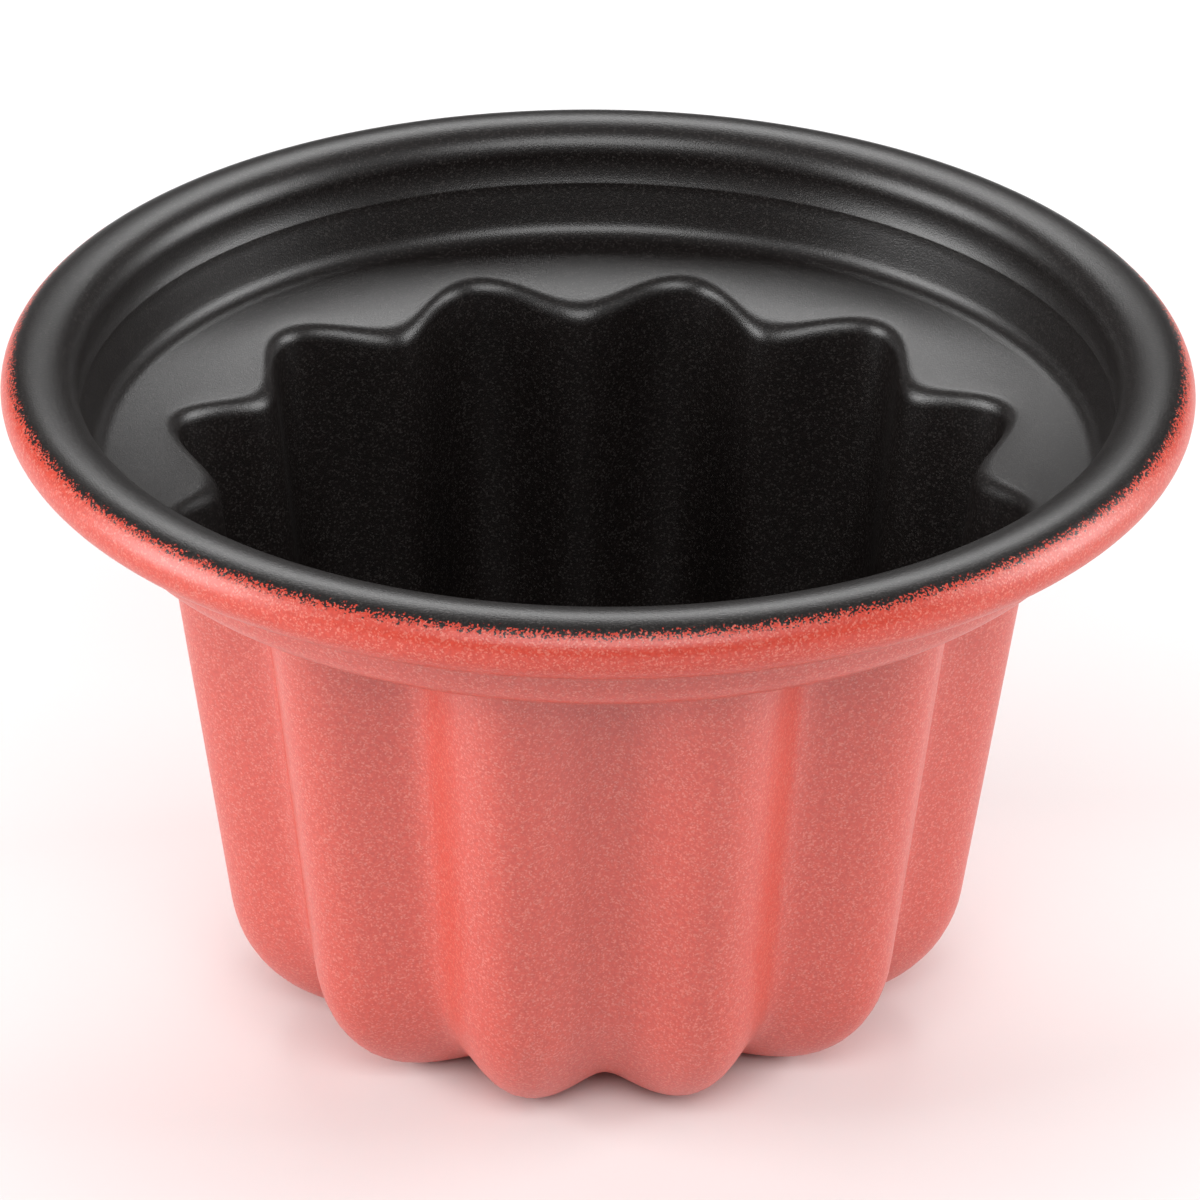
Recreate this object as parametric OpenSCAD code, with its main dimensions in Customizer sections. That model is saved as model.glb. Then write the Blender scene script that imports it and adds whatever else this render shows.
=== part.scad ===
// Canele mould: one drawn sheet with a rolled rim, a round collar, a sloping ledge and a fluted cup.
// It stands on its flat base. Z = 0 is the underside of the base, and Z is the mould's own axis.
// Radii are to the inside face of the sheet, which is the face that the cake touches, unless they
// say otherwise.

/* [Rim and collar] */
// Outside diameter of the rolled rim
rim_d = 80; // [76:1:90]
// Outside diameter of the roll's own round section
roll_d = 5.1; // [4.4:0.1:5.6]
// Height of the whole mould, from the base to the crest of the roll
total_h = 48.2; // [44:0.2:56]
// Depth of the ledge's corner below the crest of the roll
collar_h = 7.9; // [7.4:0.1:11]
// Radius of the ledge's corner
corner_at = 33.9; // [33.4:0.1:34.2]
// Rounding of the ledge's corner
corner_r = 1.6; // [1:0.1:2.2]
// Depth of the fine step in the collar's wall below the crest of the roll
step_h = 4.2; // [3.6:0.1:5]
// How far the wall steps in there
step_in = 0.15; // [0.05:0.05:0.3]
// Slope of the ledge, down towards the axis, in degrees
ledge_slope = 13; // [6:1:16]

/* [Flutes] */
// Number of flutes round the cup
flutes = 12; // [9:1:14]
// Radius of the lobes at the height of the ledge's corner
lobe_top = 29.4; // [28.6:0.1:30]
// Radius of the lobes at the base, if the foot were square
lobe_foot = 23.8; // [22.8:0.1:26]
// Radius of the creases at the height of the ledge's corner
crease_top = 25.8; // [24.6:0.1:26.6]
// Radius of the creases at the base, if the foot were square
crease_foot = 21.1; // [19.8:0.1:21.8]
// How full the lobes are: 0 is an even wave, more is a broad lobe between narrow creases
fullness = 0; // [-0.4:0.1:0.4]
// Rounding of the mouth where a lobe runs up into the ledge
lobe_mouth_r = 1.4; // [1:0.1:2]
// Rounding of the mouth where a crease runs up into the ledge
crease_mouth_r = 1.8; // [1.2:0.1:3.4]
// Rounding of the foot below a lobe
lobe_foot_r = 10; // [7:0.1:11]
// Rounding of the foot below a crease
crease_foot_r = 11.5; // [8:0.1:12.5]

/* [Sheet] */
// Thickness of the sheet
sheet_t = 0.8; // [0.6:0.05:0.9]

/* [Hidden] */
coral = [0.86, 0.38, 0.32];
// Columns of points round each flute, and rings of points round the mouth's and the foot's rounding
flute_columns = 12;
mouth_rings = 5;
foot_rings = 8;
// Facets of the round section of the roll and of the ledge's corner
roll_steps = 30;
corner_steps = 6;
// The roll's edge stops this far short of the collar
roll_gap = 0.4;
// The fluted cup ends in a tongue inside the turned ledge: its length, and how far it lies below
// each face of the ledge
tongue = 0.6;
tongue_inset = 0.03;
// Flat of the ledge between the lobes' rounding and the end of the turned ledge
ledge_flat = 0.4;

roll_r = roll_d / 2;
roll_x = rim_d / 2 - roll_r;
roll_z = total_h - roll_r;
collar_at = rim_d / 2 - roll_d;
corner_z = total_h - collar_h;
fall = tan(ledge_slope);
columns = flutes * flute_columns;

// Height of the ledge at a distance r from the axis
function ledge_z(r) = corner_z - fall * (corner_at - r);

// A point at a distance a from c in the direction w
function polar(c, a, w) = [c[0] + a * cos(w), c[1] + a * sin(w)];

// One station of a section: its point, and the direction in which the section runs there
function station(c, a, w, turn) = [polar(c, a, w), turn * a * [-sin(w), cos(w)]];

// Section of the cup from the ledge to the base, for a wall from radius top to radius foot,
// rounded by m at the mouth and by f at the foot
function cup_section(top, foot, m, f) =
    let (
        lean = (top - foot) / corner_z,
        draft = atan(lean),
        mz = (corner_z - fall * corner_at - m / cos(ledge_slope) + fall * (foot + m / cos(draft)))
            / (1 - fall * lean),
        mc = [foot + lean * mz + m / cos(draft), mz],
        fz = sheet_t + f,
        fc = [foot + lean * fz - f / cos(draft), fz],
        w0 = 90 + ledge_slope,
        w1 = 180 - draft
    )
    concat(
        [for (i = [0 : mouth_rings]) station(mc, m, w0 + (w1 - w0) * i / mouth_rings, (w1 - w0) / 90)],
        [for (i = [0 : foot_rings]) station(fc, f, -draft - (90 - draft) * i / foot_rings, -(90 - draft) / 90)]
    );

lobe = cup_section(lobe_top, lobe_foot, lobe_mouth_r, lobe_foot_r);
crease = cup_section(crease_top, crease_foot, crease_mouth_r, crease_foot_r);
stations = len(lobe);
seam_r = lobe[0][0][0] + ledge_flat;
base_r = min(lobe[stations - 1][0][0], crease[stations - 1][0][0]) / 2;

// Share of the lobe at an angle w: 0 in a crease and 1 on a lobe, and its change for each radian
function wave(w) = (1 - cos(flutes * w)) / 2;
function share(w) = wave(w) + fullness * wave(w) * (1 - wave(w));
function share_slope(w) = (1 + fullness - 2 * fullness * wave(w)) * flutes * sin(flutes * w) / 2;

// Point of the inside face and, from the two directions in which the face runs there, its normal
function cylindrical(r, w, z) = [r * cos(w), r * sin(w), z];
function face_point(j, w) =
    let (p = crease[j][0] + (lobe[j][0] - crease[j][0]) * share(w)) cylindrical(p[0], w, p[1]);
function face_normal(j, w) =
    let (
        k = share(w),
        r = crease[j][0][0] + (lobe[j][0][0] - crease[j][0][0]) * k,
        a = crease[j][1] + (lobe[j][1] - crease[j][1]) * k,
        b = (lobe[j][0] - crease[j][0]) * share_slope(w),
        n = [-a[1] * r, a[1] * b[0] - a[0] * b[1], a[0] * r]
    )
    [n[0] * cos(w) - n[1] * sin(w), n[0] * sin(w) + n[1] * cos(w), n[2]] / norm(n);

// A ring of points on the ledge at radius r, at a depth d below its inside face
function ledge_ring(r, d) =
    [for (i = [0 : columns - 1]) let (w = 360 * i / columns)
        cylindrical(r + d * sin(ledge_slope), w, ledge_z(r) - d * cos(ledge_slope))];

// All rings of one face, d away from the inside face, from the tongue's end to the base's flat
function face_rings(d, inset) = concat(
    [ledge_ring(seam_r + tongue, d + inset)],
    [ledge_ring(seam_r - ledge_flat / 3, d)],
    [for (j = [0 : stations - 1]) [for (i = [0 : columns - 1]) let (w = 360 * i / columns)
        face_point(j, w) + d * face_normal(j, w)]],
    [[for (i = [0 : columns - 1]) cylindrical(base_r, 360 * i / columns, sheet_t - d)]]
);

// Triangles between neighbouring rings of n points each, from ring a to ring b
function band(a, b, n, flip) = [for (i = [0 : n - 1])
    let (p = a * n + i, q = a * n + (i + 1) % n, s = b * n + (i + 1) % n, t = b * n + i)
    each (flip ? [[p, s, q], [p, t, s]] : [[p, q, s], [p, s, t]])];

// The fluted cup: both faces of the sheet, joined at the tongue's end and closed by the base
module cup() {
    inside = face_rings(0, tongue_inset);
    outside = face_rings(sheet_t, -tongue_inset);
    rings = len(inside);
    points = concat([for (r = concat(inside, outside)) each r], [[0, 0, sheet_t], [0, 0, 0]]);
    inside_centre = 2 * rings * columns;
    last_in = (rings - 1) * columns;
    last_out = (2 * rings - 1) * columns;
    polyhedron(points, concat(
        [for (j = [0 : rings - 2]) each band(j, j + 1, columns, true)],
        [for (j = [rings : 2 * rings - 2]) each band(j, j + 1, columns, false)],
        band(0, rings, columns, false),
        [for (i = [0 : columns - 1]) [last_in + i, inside_centre, last_in + (i + 1) % columns]],
        [for (i = [0 : columns - 1]) [last_out + i, last_out + (i + 1) % columns, inside_centre + 1]]
    ));
}

// The turned part's lines: the wall between ledge and step leans out by this angle
collar_in = collar_at - step_in;
step_z = total_h - step_h;
wall_lean = atan((collar_in - corner_at) / (step_z - corner_z));
corner_angle = 90 + ledge_slope + wall_lean;
corner_centre = polar([corner_at, corner_z], corner_r / sin(corner_angle / 2),
    135 + (ledge_slope - wall_lean) / 2);
// The sheet turns round the roll until its edge is roll_gap away from the collar
roll_turn = 360 - acos((roll_x - collar_at - sheet_t - roll_gap) / roll_r);

// One face of the turned part, d away from the inside face: ledge, corner, step and roll
function turned_face(d) = concat(
    [[seam_r, ledge_z(seam_r) - d / cos(ledge_slope)]],
    [for (i = [0 : corner_steps]) polar(corner_centre, corner_r + d,
        ledge_slope - 90 + (180 - corner_angle) * i / corner_steps)],
    [[collar_in + d, step_z], [collar_at + d, step_z + step_in]],
    [for (i = [0 : roll_steps]) polar([roll_x, roll_z], roll_r - d, 180 - roll_turn * i / roll_steps)]
);

module rim() {
    inside = turned_face(0);
    outside = turned_face(sheet_t);
    rotate_extrude($fn = 144)
        polygon(concat(inside, [for (i = [len(outside) - 1 : -1 : 0]) outside[i]]));
}

module mould() {
    color(coral) union() {
        rim();
        cup();
    }
}

mould();
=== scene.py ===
"""Canele mould: one drawn sheet, dark non-stick coat inside and coral pearl coat outside.

The section of the sheet is drawn once for a lobe and once for a crease, spun round the mould's axis
and waved between the two, and then given the sheet's thickness.
"""

import logging
import math
from dataclasses import dataclass, field
from enum import Enum

import bmesh
import bpy
from mathutils import Matrix, Vector


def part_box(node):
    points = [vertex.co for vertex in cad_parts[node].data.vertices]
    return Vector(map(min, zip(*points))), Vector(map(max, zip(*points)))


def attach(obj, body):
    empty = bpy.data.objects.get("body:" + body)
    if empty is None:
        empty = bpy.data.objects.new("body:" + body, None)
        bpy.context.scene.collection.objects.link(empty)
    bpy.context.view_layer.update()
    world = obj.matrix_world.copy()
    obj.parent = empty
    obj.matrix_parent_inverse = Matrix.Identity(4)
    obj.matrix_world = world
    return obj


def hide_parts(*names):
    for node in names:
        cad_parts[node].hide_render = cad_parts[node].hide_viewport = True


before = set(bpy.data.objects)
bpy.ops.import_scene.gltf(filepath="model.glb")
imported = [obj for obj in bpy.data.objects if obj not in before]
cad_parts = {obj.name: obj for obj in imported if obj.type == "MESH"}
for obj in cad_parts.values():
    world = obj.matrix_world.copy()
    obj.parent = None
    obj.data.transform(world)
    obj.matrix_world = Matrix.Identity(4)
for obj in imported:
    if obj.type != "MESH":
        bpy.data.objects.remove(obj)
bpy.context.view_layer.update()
MM = 0.001
AXIS_REACH = 1e-9
MERGE_REACH = 1e-7
LOG = logging.getLogger("canele_mould")
Point = tuple[float, float]


class Face(Enum):
    """The two faces of the sheet, in the order of the shell's material slots."""

    INSIDE = 0
    OUTSIDE = 1


def linear(hex_colour: str) -> tuple[float, float, float, float]:
    """Turn an sRGB hex colour into linear values.

    Args:
        hex_colour: Colour such as "#d9654f".

    Returns:
        Linear red, green, blue and an alpha of 1.
    """
    values = [int(hex_colour[i:i + 2], 16) / 255 for i in (1, 3, 5)]
    r, g, b = (v / 12.92 if v <= 0.04045 else ((v + 0.055) / 1.055) ** 2.4 for v in values)
    return (r, g, b, 1.0)


def add_node(tree: bpy.types.NodeTree, kind: str, settings: dict | None = None,
             links: dict | None = None) -> bpy.types.Node:
    """Add a node, set its properties and socket values, and link its inputs.

    Args:
        tree: Node tree that the node goes into.
        kind: Blender's name of the node type.
        settings: Property names, or input names and indices, with their values.
        links: Input names or indices, with the output sockets that feed them.

    Returns:
        The new node.
    """
    node = tree.nodes.new(kind)
    for name, value in (settings or {}).items():
        if isinstance(name, str) and name not in node.inputs:
            setattr(node, name, value)
        else:
            node.inputs[name].default_value = value
    for name, socket in (links or {}).items():
        tree.links.new(socket, node.inputs[name])
    return node


def arc(centre: Point, radius: float, start: float, end: float, steps: int) -> list[Point]:
    """Points along an arc.

    Args:
        centre: Centre of the arc, as distance from the axis and height.
        radius: Radius of the arc.
        start: Direction of the first point from the centre, in degrees.
        end: Direction of the last point.
        steps: Number of steps between them.

    Returns:
        steps + 1 points.
    """
    turns = [math.radians(start + (end - start) * i / steps) for i in range(steps + 1)]
    return [(centre[0] + radius * math.cos(w), centre[1] + radius * math.sin(w)) for w in turns]


def line(start: Point, end: Point, steps: int) -> list[Point]:
    """Points between two points, without the two points themselves."""
    shares = [i / steps for i in range(1, steps)]
    return [(start[0] + (end[0] - start[0]) * s, start[1] + (end[1] - start[1]) * s)
            for s in shares]


@dataclass
class Wall:
    """One upright section of the cup, through a lobe or through a crease, in millimetres."""

    top: float
    foot: float
    mouth_r: float
    foot_r: float


@dataclass
class SheetSection:
    """Section of the inside face of the sheet, in millimetres from the axis and the base."""

    rim_r: float
    height: float
    sheet_t: float = 0.8
    roll_d: float = 5.1
    roll_h: float = 4.4
    roll_gap: float = 0.4
    collar_h: float = 7.9
    corner_at: float = 33.9
    corner_r: float = 1.6
    step_h: float = 4.2
    step_in: float = 0.15
    step_run: float = 0.12
    ledge_slope: float = 13.0
    lobe: Wall = field(default_factory=lambda: Wall(29.4, 23.8, 1.4, 10.0))
    crease: Wall = field(default_factory=lambda: Wall(25.8, 21.1, 1.8, 11.5))
    flat_rings: int = 6
    foot_rings: int = 16
    wall_rings: int = 14
    mouth_rings: int = 8
    ledge_rings: int = 3
    corner_rings: int = 6
    collar_rings: int = 4
    roll_rings: int = 44

    @property
    def corner_z(self) -> float:
        """Height of the ledge's corner."""
        return self.height - self.collar_h

    @property
    def roll_centre(self) -> Point:
        """Centre of the roll's section, which is a circle pressed a little flat."""
        return (self.rim_r - self.roll_d / 2, self.height - self.roll_h / 2)

    def cup(self, wall: Wall) -> list[Point]:
        """Points from the base's flat up to the ledge.

        Args:
            wall: The lobe's or the crease's section.

        Returns:
            Points of the foot's rounding, the wall and the mouth's rounding.
        """
        slope = math.radians(self.ledge_slope)
        lean = (wall.top - wall.foot) / self.corner_z
        draft = math.atan(lean)
        fall = math.tan(slope)
        mouth_x = wall.foot + wall.mouth_r / math.cos(draft)
        mouth_z = (self.corner_z - fall * self.corner_at - wall.mouth_r / math.cos(slope)
                   + fall * mouth_x) / (1 - fall * lean)
        mouth_centre = (mouth_x + lean * mouth_z, mouth_z)
        foot_z = self.sheet_t + wall.foot_r
        foot_centre = (wall.foot + lean * foot_z - wall.foot_r / math.cos(draft), foot_z)
        tilt = math.degrees(draft)
        foot = arc(foot_centre, wall.foot_r, -90, -tilt, self.foot_rings)
        mouth = arc(mouth_centre, wall.mouth_r, 180 - tilt, 90 + self.ledge_slope, self.mouth_rings)
        flat = line((0.0, self.sheet_t), foot[0], self.flat_rings)
        upright = line(foot[-1], mouth[0], self.wall_rings)
        return [(0.0, self.sheet_t)] + flat + foot + upright + mouth

    def turned(self) -> list[Point]:
        """Points of the round parts.

        Returns:
            Points of the ledge's corner, the collar's wall, its step and the roll.
        """
        step_z = self.height - self.step_h
        collar_at = self.rim_r - self.roll_d
        collar_in = collar_at - self.step_in
        lean = math.degrees(math.atan((collar_in - self.corner_at) / (step_z - self.corner_z)))
        angle = 90 + self.ledge_slope + lean
        reach = self.corner_r / math.sin(math.radians(angle / 2))
        way = math.radians(135 + (self.ledge_slope - lean) / 2)
        centre = (self.corner_at + reach * math.cos(way), self.corner_z + reach * math.sin(way))
        corner = arc(centre, self.corner_r, self.ledge_slope - 90, -lean, self.corner_rings)
        radius = self.roll_d / 2
        stop = (self.roll_centre[0] - collar_at - self.sheet_t - self.roll_gap) / radius
        turn = 360 - math.degrees(math.acos(stop))
        step = [(collar_in, step_z - self.step_run), (collar_in, step_z),
                (collar_at, step_z + self.step_in)]
        wall = line(corner[-1], step[0], self.collar_rings)
        flat = self.roll_h / self.roll_d
        middle = self.roll_centre[1]
        roll = [(r, middle + (z - middle) * flat)
                for r, z in arc(self.roll_centre, radius, 180, 180 - turn, self.roll_rings)]
        return corner + wall + step + roll

    def points(self, wall: Wall) -> list[Point]:
        """The whole section, from the base's centre to the roll's edge.

        Args:
            wall: The lobe's or the crease's section.

        Returns:
            Points in order; lists for a lobe and a crease have the same length.
        """
        cup = self.cup(wall)
        turned = self.turned()
        return cup + line(cup[-1], turned[0], self.ledge_rings) + turned


@dataclass(frozen=True)
class PearlCoat:
    """A sprayed and baked coat with fine pearl flakes, which break its highlights into grains."""

    name: str
    body: str
    shade: str
    flake: str
    flake_share: float
    flake_tint: float
    ior: float
    roughness: float
    bump: float
    grain_mm: float = 0.11
    bump_mm: float = 0.017
    cloud_grains: float = 2.2
    cloud_low: float = 0.35
    cloud_high: float = 0.65


# Silicone-polyester bakeware enamel, sprayed on the drawn sheet and baked: an opaque coral body
# under titania pearl, whose high IOR turns the broad highlights pale pink. Real pearl flakes are a
# few hundredths of a millimetre wide, and are drawn 0.11 mm wide here, so that they show.
CORAL_COAT = PearlCoat(
    "coral_pearl_enamel", body="#c8412e", shade="#bb3625", flake="#ffd4c0", flake_share=0.35,
    flake_tint=0.09, ior=1.9, roughness=0.36, bump=1.0)
# Non-stick coat with mica, sprayed and baked: near black, with grey grains where light falls on it.
# Its flakes are drawn as coarse as the coral coat's, for the same reason.
DARK_COAT = PearlCoat(
    "dark_mica_non_stick", body="#16100f", shade="#0d0908", flake="#c9c0bb", flake_share=0.25,
    flake_tint=0.022, ior=1.6, roughness=0.34, bump=1.0)
SPRAY_BORDER = "spray_border"


@dataclass(frozen=True)
class Overspray:
    """The speckled border where the coral coat was sprayed over the dark one on the roll.

    The border's middle is roll_angle degrees above the roll's widest point, and it is half_width_mm
    wide to each side. The roll's inner side, past inner_share of its radius and below inner_up_mm,
    stays dark.
    Real drops of overspray are finer than drop_mm, which is as coarse as they need to be to show.
    """

    half_width_mm: float = 0.7
    drop_mm: float = 0.12
    roll_angle: float = 40.0
    far_mm: float = 9.0
    soft_edge: float = 0.12
    inner_share: float = 0.8
    inner_up_mm: float = 0.1


def coat_colour(tree: bpy.types.NodeTree, coat: PearlCoat, place: bpy.types.NodeSocket
                ) -> bpy.types.NodeSocket:
    """Colour of a coat, with flakes strewn in its cloudy body.

    Args:
        tree: Node tree of the material.
        coat: The coat.
        place: Object coordinates.

    Returns:
        The colour's output socket.
    """
    cloud = add_node(tree, "ShaderNodeTexNoise",
                     {"Scale": 1 / (coat.grain_mm * coat.cloud_grains * MM), "Detail": 3.0},
                     {"Vector": place})
    spread = add_node(tree, "ShaderNodeMapRange",
                      {"From Min": coat.cloud_low, "From Max": coat.cloud_high},
                      {"Value": cloud.outputs["Fac"]})
    body = add_node(tree, "ShaderNodeMix",
                    {"data_type": "RGBA", 6: linear(coat.shade), 7: linear(coat.body)},
                    {0: spread.outputs["Result"]})
    cells = add_node(tree, "ShaderNodeTexVoronoi", {"Scale": 1 / (coat.grain_mm * MM)},
                     {"Vector": place})
    tone = add_node(tree, "ShaderNodeSeparateColor", {}, {"Color": cells.outputs["Color"]})
    flakes = add_node(tree, "ShaderNodeMapRange",
                      {"From Min": 1 - coat.flake_share, "From Max": 1.0,
                       "To Max": 2 * coat.flake_tint},
                      {"Value": tone.outputs["Red"]})
    mixed = add_node(tree, "ShaderNodeMix", {"data_type": "RGBA", 7: linear(coat.flake)},
                     {0: flakes.outputs["Result"], 6: body.outputs[2]})
    return mixed.outputs[2]


def coat_grain(tree: bpy.types.NodeTree, coat: PearlCoat, place: bpy.types.NodeSocket
               ) -> bpy.types.NodeSocket:
    """Normal of a coat, roughened by its flakes.

    Args:
        tree: Node tree of the material.
        coat: The coat.
        place: Object coordinates.

    Returns:
        The normal's output socket.
    """
    grain = add_node(tree, "ShaderNodeTexNoise", {"Scale": 1 / (coat.grain_mm * MM), "Detail": 2.0},
                     {"Vector": place})
    bump = add_node(tree, "ShaderNodeBump", {"Strength": coat.bump, "Distance": coat.bump_mm * MM},
                    {"Height": grain.outputs["Fac"]})
    return bump.outputs["Normal"]


def outside_material(coat: PearlCoat) -> bpy.types.Material:
    """Coral coat of the outside face.

    Args:
        coat: The coat.

    Returns:
        The material.
    """
    material = bpy.data.materials.new(coat.name)
    material.use_nodes = True
    tree = material.node_tree
    place = add_node(tree, "ShaderNodeTexCoord").outputs["Object"]
    shader = tree.nodes["Principled BSDF"]
    shader.inputs["Roughness"].default_value = coat.roughness
    shader.inputs["IOR"].default_value = coat.ior
    tree.links.new(coat_colour(tree, coat, place), shader.inputs["Base Color"])
    tree.links.new(coat_grain(tree, coat, place), shader.inputs["Normal"])
    return material


def inside_material(coat: PearlCoat, over: PearlCoat, spray: Overspray) -> bpy.types.Material:
    """Dark coat of the inside face, with the coral coat sprayed over it on the roll's outer side.

    Args:
        coat: The dark coat.
        over: The coral coat.
        spray: The border between them.

    Returns:
        The material.
    """
    material = bpy.data.materials.new(coat.name)
    material.use_nodes = True
    tree = material.node_tree
    place = add_node(tree, "ShaderNodeTexCoord").outputs["Object"]
    border = add_node(tree, "ShaderNodeAttribute", {"attribute_name": SPRAY_BORDER})
    reach = add_node(tree, "ShaderNodeMapRange",
                     {"interpolation_type": "SMOOTHSTEP", "From Min": -spray.half_width_mm,
                      "From Max": spray.half_width_mm, "To Max": 1 + spray.soft_edge},
                     {"Value": border.outputs["Fac"]})
    drops = add_node(tree, "ShaderNodeTexVoronoi", {"Scale": 1 / (spray.drop_mm * MM)},
                     {"Vector": place})
    drop = add_node(tree, "ShaderNodeSeparateColor", {}, {"Color": drops.outputs["Color"]})
    lead = add_node(tree, "ShaderNodeMath", {"operation": "SUBTRACT"},
                    {0: reach.outputs["Result"], 1: drop.outputs["Green"]})
    covered = add_node(tree, "ShaderNodeMapRange", {"From Max": spray.soft_edge},
                       {"Value": lead.outputs[0]})
    colour = add_node(tree, "ShaderNodeMix", {"data_type": "RGBA"},
                      {0: covered.outputs["Result"], 6: coat_colour(tree, coat, place),
                       7: coat_colour(tree, over, place)})
    shader = tree.nodes["Principled BSDF"]
    shader.inputs["Roughness"].default_value = coat.roughness
    shader.inputs["IOR"].default_value = coat.ior
    tree.links.new(colour.outputs[2], shader.inputs["Base Color"])
    tree.links.new(coat_grain(tree, coat, place), shader.inputs["Normal"])
    return material


@dataclass
class MouldShell:
    """The mould: one sheet, spun, waved into flutes and given its thickness."""

    section: SheetSection
    flutes: int = 12
    columns_a_flute: int = 24
    spray: Overspray = Overspray()

    def share(self, turn: float) -> float:
        """Share of the lobe's section at an angle round the axis: 0 in a crease, 1 on a lobe."""
        return (1 - math.cos(self.flutes * turn)) / 2

    def border_distance(self, point: Point) -> float:
        """Distance along the roll past the middle of the overspray, in millimetres.

        Args:
            point: A point of the section.

        Returns:
            Less than 0 on the dark side and more than 0 on the coral side.
        """
        centre = self.section.roll_centre
        radius = self.section.roll_d / 2
        across, up = point[0] - centre[0], point[1] - centre[1]
        if across < -self.spray.inner_share * radius and up < self.spray.inner_up_mm:
            return -self.spray.far_mm
        return radius * (math.radians(self.spray.roll_angle) - math.atan2(up, across))

    def spin(self) -> bmesh.types.BMesh:
        """Spin the lobe's section round the axis.

        Returns:
            A mesh whose vertices know their place along the section.
        """
        bm = bmesh.new()
        station = bm.verts.layers.int.new("station")
        border = bm.verts.layers.float.new(SPRAY_BORDER)
        previous = None
        for number, (r, z) in enumerate(self.section.points(self.section.lobe)):
            vertex = bm.verts.new((r * MM, 0.0, z * MM))
            vertex[station] = number
            vertex[border] = self.border_distance((r, z))
            if previous:
                bm.edges.new((previous, vertex))
            previous = vertex
        bmesh.ops.spin(bm, geom=bm.verts[:] + bm.edges[:], cent=(0, 0, 0), axis=(0, 0, 1),
                       dvec=(0, 0, 0), angle=math.tau, steps=self.flutes * self.columns_a_flute,
                       use_merge=True, use_duplicate=False)
        bmesh.ops.remove_doubles(bm, verts=bm.verts[:], dist=MERGE_REACH)
        return bm

    def flute(self, bm: bmesh.types.BMesh) -> None:
        """Draw the spun shape in between the lobes, so that it follows the crease's section there.

        Args:
            bm: The spun mesh.
        """
        station = bm.verts.layers.int["station"]
        lobe = self.section.points(self.section.lobe)
        crease = self.section.points(self.section.crease)
        for vertex in bm.verts:
            if vertex.co.xy.length < AXIS_REACH:
                continue
            turn = math.atan2(vertex.co.y, vertex.co.x)
            k = self.share(turn)
            (r0, z0), (r1, z1) = crease[vertex[station]], lobe[vertex[station]]
            r = (r0 + (r1 - r0) * k) * MM
            vertex.co = (r * math.cos(turn), r * math.sin(turn), (z0 + (z1 - z0) * k) * MM)

    def build(self) -> bpy.types.Object:
        """Make the shell.

        Returns:
            The shell's object.
        """
        bm = self.spin()
        self.flute(bm)
        bmesh.ops.recalc_face_normals(bm, faces=bm.faces[:])
        base = min(bm.faces, key=lambda f: f.calc_center_median().xy.length)
        if base.normal.z < 0:
            bmesh.ops.reverse_faces(bm, faces=bm.faces[:])
        for face in bm.faces:
            face.smooth = True
        mesh = bpy.data.meshes.new("mould_shell")
        bm.to_mesh(mesh)
        bm.free()
        shell = bpy.data.objects.new("mould_shell", mesh)
        bpy.context.scene.collection.objects.link(shell)
        sheet = shell.modifiers.new("sheet", "SOLIDIFY")
        sheet.thickness = self.section.sheet_t * MM
        sheet.offset = -1.0
        sheet.use_even_offset = True
        sheet.use_quality_normals = True
        sheet.material_offset = Face.OUTSIDE.value
        sheet.material_offset_rim = Face.OUTSIDE.value
        return shell

    def dress(self, shell: bpy.types.Object) -> None:
        """Give the two faces of the shell their coats and tie it to the frame.

        Args:
            shell: The shell's object.
        """
        coats = {Face.INSIDE: inside_material(DARK_COAT, CORAL_COAT, self.spray),
                 Face.OUTSIDE: outside_material(CORAL_COAT)}
        for face in Face:
            shell.data.materials.append(coats[face])
        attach(shell, "root")
        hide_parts("mould")


@dataclass
class PhotoCamera:
    """Camera at the photograph's place, measured from the middle of the rim's crest plane.

    The distance and the aim are in rim radii, the elevation and azimuth in degrees, the roll in
    radians.
    """

    rim_r: float
    height: float
    distance: float = 12.02
    elevation: float = 26.35
    azimuth: float = -2.83
    aim_side: float = 0.0065
    aim_drop: float = 0.484
    roll: float = 0.0097
    focal_px: float = 7177.0
    photo_px: int = 1200
    sensor_mm: float = 36.0
    clip_m: float = 0.01

    def build(self) -> bpy.types.Object:
        """Make the camera and set it as the scene's own.

        Returns:
            The camera's object.
        """
        unit = self.rim_r * MM
        up = math.radians(self.elevation)
        turn = Matrix.Rotation(math.radians(self.azimuth), 3, "Z")
        crest = Vector((0, 0, self.height * MM))
        eye = crest + turn @ Vector((0, -math.cos(up), math.sin(up))) * self.distance * unit
        aim = crest + turn @ Vector((self.aim_side, 0, -self.aim_drop)) * unit
        data = bpy.data.cameras.new("photo_camera")
        data.sensor_width = self.sensor_mm
        data.lens = self.focal_px / self.photo_px * self.sensor_mm
        data.clip_start = self.clip_m
        camera = bpy.data.objects.new("photo_camera", data)
        camera.location = eye
        look = (aim - eye).to_track_quat("-Z", "Y").to_matrix() @ Matrix.Rotation(self.roll, 3, "Z")
        camera.rotation_euler = look.to_euler()
        bpy.context.scene.collection.objects.link(camera)
        bpy.context.scene.camera = camera
        return camera


@dataclass
class SoftBox:
    """One area lamp that points at the mould, with its place and size in metres."""

    name: str
    place: tuple[float, float, float]
    size: tuple[float, float]
    watts: float

    def build(self, aim: Vector) -> None:
        """Make the lamp.

        Args:
            aim: Point that the lamp faces.
        """
        data = bpy.data.lights.new(self.name, "AREA")
        data.shape = "RECTANGLE"
        data.size, data.size_y = self.size
        data.energy = self.watts
        lamp = bpy.data.objects.new(self.name, data)
        lamp.location = self.place
        lamp.rotation_euler = (aim - Vector(self.place)).to_track_quat("-Z", "Y").to_euler()
        bpy.context.scene.collection.objects.link(lamp)


@dataclass(frozen=True)
class TableTop:
    """A finish for the table."""

    name: str
    colour: str
    roughness: float


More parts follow.
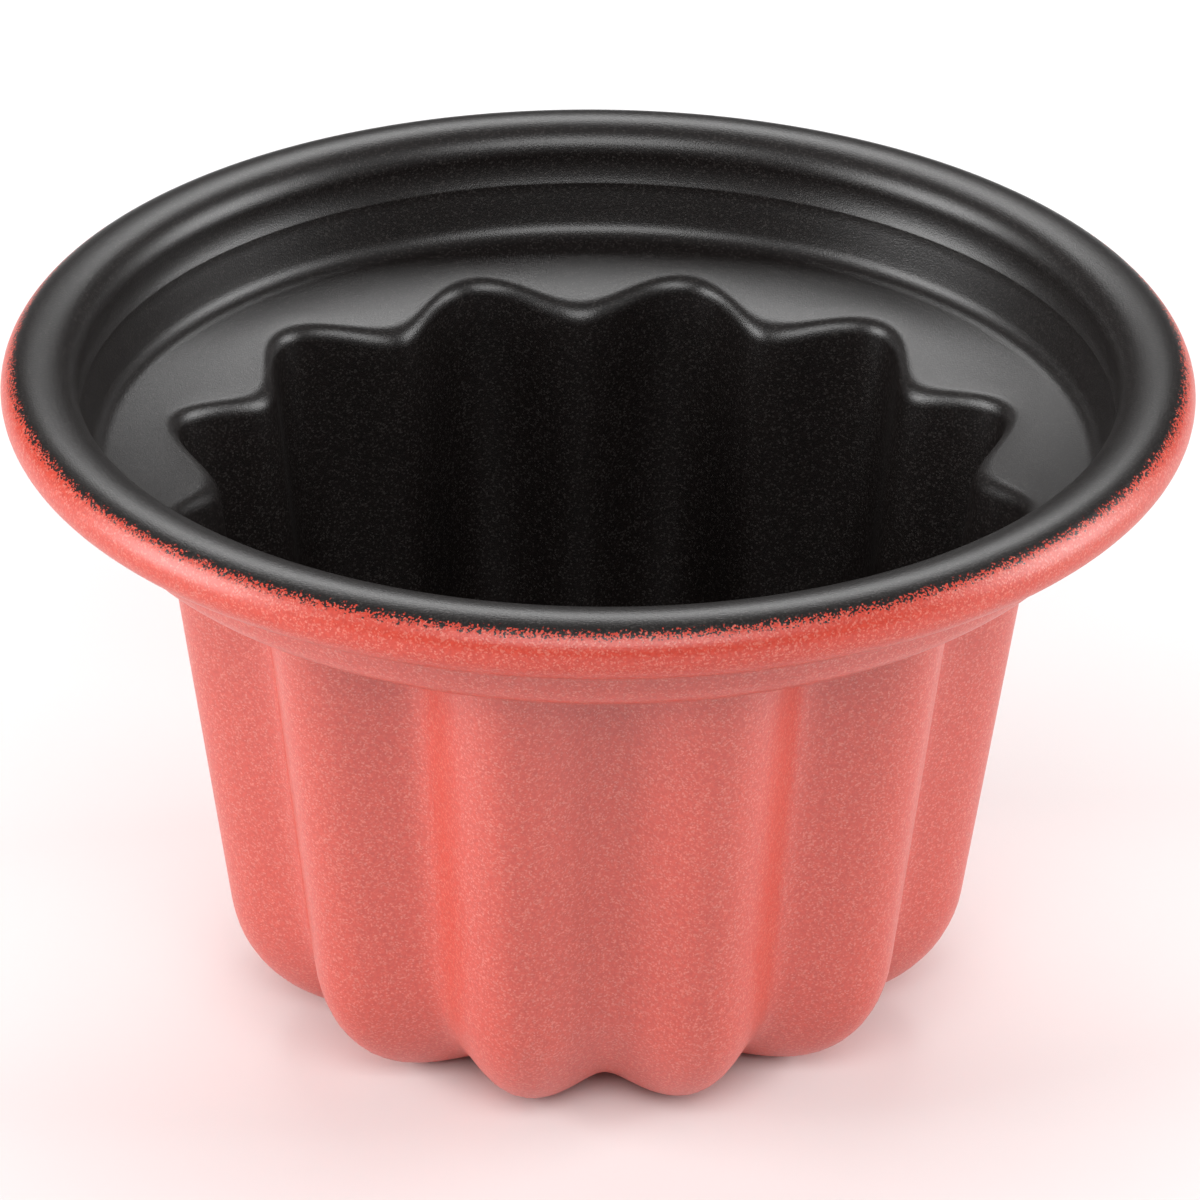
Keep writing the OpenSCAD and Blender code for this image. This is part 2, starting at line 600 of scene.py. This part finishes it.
# Melamine laminate, pressed with a matt face: a pale, even white that still takes the shadow.
WHITE_LAMINATE = TableTop("white_table_laminate", "#f2f2f2", 0.7)


@dataclass
class Studio:
    """White table, white surroundings and soft lamps."""

    floor_size: float = 6.0
    boxes: tuple[SoftBox, ...] = (
        SoftBox("left_box", (-0.6, -0.08, 0.2), (0.35, 0.4), 3.5),
        SoftBox("right_box", (0.6, 0.0, 0.2), (0.35, 0.4), 2.9),
        SoftBox("back_box", (0.0, 0.44, 0.58), (0.6, 0.3), 2.9),
        SoftBox("front_box", (0.0, -0.5, 0.5), (0.6, 0.3), 2.9),
    )
    ambient: float = 0.12
    aim_height: float = 0.03
    table_top: TableTop = WHITE_LAMINATE

    def floor(self) -> None:
        """Make the table that the mould stands on."""
        bm = bmesh.new()
        bmesh.ops.create_grid(bm, x_segments=1, y_segments=1, size=self.floor_size / 2)
        mesh = bpy.data.meshes.new("table")
        bm.to_mesh(mesh)
        bm.free()
        table = bpy.data.objects.new("table", mesh)
        bpy.context.scene.collection.objects.link(table)
        material = bpy.data.materials.new(self.table_top.name)
        material.use_nodes = True
        shader = material.node_tree.nodes["Principled BSDF"]
        shader.inputs["Base Color"].default_value = linear(self.table_top.colour)
        shader.inputs["Roughness"].default_value = self.table_top.roughness
        mesh.materials.append(material)

    def surroundings(self) -> None:
        """White to the camera, dim as a light and in reflections, to keep the dark coat dark."""
        world = bpy.data.worlds.new("white_surroundings")
        bpy.context.scene.world = world
        world.use_nodes = True
        tree = world.node_tree
        tree.nodes.clear()
        rays = add_node(tree, "ShaderNodeLightPath")
        seen = add_node(tree, "ShaderNodeMath", {"operation": "MAXIMUM"},
                        {0: rays.outputs["Is Camera Ray"], 1: rays.outputs["Is Transmission Ray"]})
        strength = add_node(tree, "ShaderNodeMapRange", {"To Min": self.ambient, "To Max": 1.0},
                            {"Value": seen.outputs[0]})
        sky = add_node(tree, "ShaderNodeBackground", {"Color": (1, 1, 1, 1)},
                       {"Strength": strength.outputs["Result"]})
        add_node(tree, "ShaderNodeOutputWorld", {}, {"Surface": sky.outputs[0]})

    def build(self) -> None:
        """Make table, surroundings and lamps."""
        self.floor()
        self.surroundings()
        for box in self.boxes:
            box.build(Vector((0, 0, self.aim_height)))
        bpy.context.scene.view_settings.view_transform = "Standard"


def main() -> None:
    """Build the camera, the studio and the mould."""
    logging.basicConfig(level=logging.INFO)
    low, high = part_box("mould")
    rim_r = (high.x - low.x) / 2 / MM
    height = high.z / MM
    PhotoCamera(rim_r, height).build()
    Studio().build()
    maker = MouldShell(SheetSection(rim_r, height))
    shell = maker.build()
    maker.dress(shell)
    LOG.info("%s: %d vertices before its thickness", shell.name, len(shell.data.vertices))


if __name__ == "__main__":
    main()
